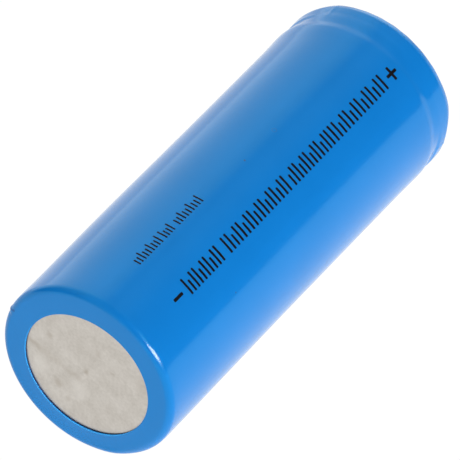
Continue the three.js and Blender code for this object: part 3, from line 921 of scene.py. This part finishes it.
def printed_marks():
    plus_x, plus_turn, arm, stroke = 43.28, 36.5, 1.48, 0.31
    minus_x, minus_turn, minus_long = 6.36, 39.3, 1.4
    ink_piece("plus_mark", [(plus_x, plus_turn, stroke, arm), (plus_x, plus_turn, arm, stroke)])
    ink_piece("minus_mark", [(minus_x, minus_turn, minus_long, stroke)])
    long_groups = [(41.9, 33.0), (32.6, 25.6), (25.0, 14.5), (13.5, 7.8)]
    ink_piece("long_row", bar_row(
        long_groups, pitch=0.66, stroke=0.27, height=1.75, turn=36.15, drift=0.069, short=(2,)))
    short_groups = [(17.0, 13.0), (12.3, 10.8), (10.3, 6.4)]
    ink_piece("short_row", bar_row(
        short_groups, pitch=0.50, stroke=0.19, height=1.12, turn=7.1, drift=0.0, short=(1, 2)))


sleeve = shrink_sleeve()
steel_can()
washer()
positive_cap()
printed_marks()

# ---- Camera ----

VIEW_TURN = math.radians(-57.369)      # azimuth of the camera, from -Y towards +X
VIEW_RISE = math.radians(40.610)
VIEW_DISTANCE = 0.88817
VIEW_MIDDLE = Vector((24.88, 0, 0)) * MM
VIEW_ASIDE = 0.4507 * MM               # the picture's centre lies left of and below that point
VIEW_BELOW = 0.7533 * MM

back = Vector((
    math.sin(VIEW_TURN) * math.cos(VIEW_RISE),
    -math.cos(VIEW_TURN) * math.cos(VIEW_RISE),
    math.sin(VIEW_RISE),
))
right = Vector((math.cos(VIEW_TURN), math.sin(VIEW_TURN), 0))
up = back.cross(right)

camera_data = bpy.data.cameras.new("camera")
camera_data.lens = 754.06
camera_data.sensor_width = 36
camera_data.clip_start = 0.01
camera_data.clip_end = 20
camera = bpy.data.objects.new("camera", camera_data)
camera.location = VIEW_MIDDLE - right * VIEW_ASIDE - up * VIEW_BELOW + back * VIEW_DISTANCE
camera.rotation_euler = (-back).to_track_quat("-Z", "Y").to_euler()
bpy.context.scene.collection.objects.link(camera)
bpy.context.scene.camera = camera

# ---- Studio ----

bpy.context.scene.view_settings.view_transform = "Standard"
WHITE = 1.02                           # just past full white, so the ground shows no tone
BOARD_X = (-0.60, 0.60)
BOARD_Y = (-0.150, 0.60)
LAMP_DISTANCE = 1.05

# The room's glow on the cell, by degrees round the cell's axis from +Z towards -Y. The near glow
# comes from beyond the base, the far glow from beside the cell and past its far end.
ROOM_STRENGTH = 2.5
FAR_GLOW = [
    (-130, 0.0), (-100, 2.1), (-85, 1.6), (-57, 1.32), (-23, 1.20),
    (-14, 0.90), (-5, 0.34), (10, 0.42), (30, 0.10), (50, 0.0),
]
NEAR_GLOW = [(-70, 0.0), (-30, 0.58), (10, 0.0)]
NEAR_X = (0.2, -0.3)                   # directions' X where the near glow starts and is complete
BEYOND_GLOW = 0.7                      # added straight beyond the far end
BEYOND_X = (0.82, 0.96)

KEY = (-0.41, -0.82, 0.40)
KEY_GLOSS = (-0.41, -0.86, 0.31)
GLOSS_RED = (1.0, 0.22, 0.22)          # makes up for the film's tint, so the highlight reads white


def floor_board():
    """A glowing white board, as on a light table."""
    z = cad_box[0][2]
    (low_x, high_x), (low_y, high_y) = BOARD_X, BOARD_Y
    corners = [(low_x, low_y, z), (high_x, low_y, z), (high_x, high_y, z), (low_x, high_y, z)]
    material = bpy.data.materials.new("white_board")
    material.use_nodes = True
    board = Nodes(material.node_tree)
    glow = board.add("ShaderNodeEmission")
    glow.inputs["Strength"].default_value = WHITE
    board.put(board.add("ShaderNodeOutputMaterial").inputs["Surface"], glow.outputs[0])
    mesh_object("floor", corners, [(0, 1, 2, 3)], material, smooth=False)


def soft_box(name, direction, width, height, radiance, glossy=True, diffuse=True, colour=(1, 1, 1)):
    """A rectangular lamp that faces the cell's middle. It can be kept out of gloss or out of fill."""
    lamp = bpy.data.lights.new(name, "AREA")
    lamp.shape = "RECTANGLE"
    lamp.size = width
    lamp.size_y = height
    lamp.energy = radiance * math.pi * width * height
    lamp.color = colour
    box = bpy.data.objects.new(name, lamp)
    aim = Vector(direction).normalized()
    box.location = VIEW_MIDDLE + aim * LAMP_DISTANCE
    box.rotation_euler = aim.to_track_quat("Z", "Y").to_euler()
    box.visible_camera = False
    box.visible_glossy = glossy
    box.visible_diffuse = diffuse
    bpy.context.scene.collection.objects.link(box)
    return box


def only_for(lamp, name, *pieces):
    """Lets a lamp light these pieces and nothing else."""
    group = bpy.data.collections.new(name)
    for piece in pieces:
        group.objects.link(piece)
    lamp.light_linking.receiver_collection = group


def glow_ramp(room, share, glow):
    stops = [((degrees + 180) / 360, grey(value / ROOM_STRENGTH)) for degrees, value in glow]
    return room.ramp(share, *stops)


def room_light():
    """The room's glow on the cell, by direction. To the camera the room is plain white."""
    world = bpy.data.worlds.new("room")
    bpy.context.scene.world = world
    world.use_nodes = True
    room = Nodes(world.node_tree)
    x, y, z = room.axes(room.add("ShaderNodeTexCoord").outputs["Generated"])
    turn = room.math("ARCTAN2", room.math("MULTIPLY", y, -1.0), z)
    share = room.spread(turn, -math.pi, math.pi)
    near_share = room.spread(x, *NEAR_X, kind="SMOOTHSTEP")
    sides = room.mix(near_share, glow_ramp(room, share, FAR_GLOW), glow_ramp(room, share, NEAR_GLOW))
    beyond_share = room.spread(x, *BEYOND_X, kind="SMOOTHSTEP")
    lit = room.mix(beyond_share, sides, grey(BEYOND_GLOW / ROOM_STRENGTH), blend="ADD")
    seen = room.add("ShaderNodeLightPath").outputs["Is Camera Ray"]
    background = room.add("ShaderNodeBackground")
    background.inputs["Strength"].default_value = ROOM_STRENGTH
    room.put(background.inputs["Color"], room.mix(seen, lit, grey(WHITE / ROOM_STRENGTH)))
    room.put(room.add("ShaderNodeOutputWorld").inputs["Surface"], background.outputs[0])


floor_board()
room_light()
soft_box("key_wide", KEY, width=0.4, height=0.85, radiance=2.4)
soft_box("key_soft", KEY, width=0.3, height=0.4, radiance=13.3, glossy=False)
key_gloss = soft_box(
    "key_gloss", KEY_GLOSS, width=0.75, height=0.3, radiance=62.0, diffuse=False, colour=GLOSS_RED)
only_for(key_gloss, "film_gloss", sleeve)
soft_box("fill_left", (-0.45, 0.68, 0.58), width=0.8, height=0.8, radiance=0.52, glossy=False)
soft_box("fill_top", (-0.3, 0.0, 1.0), width=0.8, height=0.8, radiance=0.38, glossy=False)
soft_box("fill_right", (0.0, -1.0, 0.1), width=0.8, height=0.8, radiance=2.35, glossy=False)
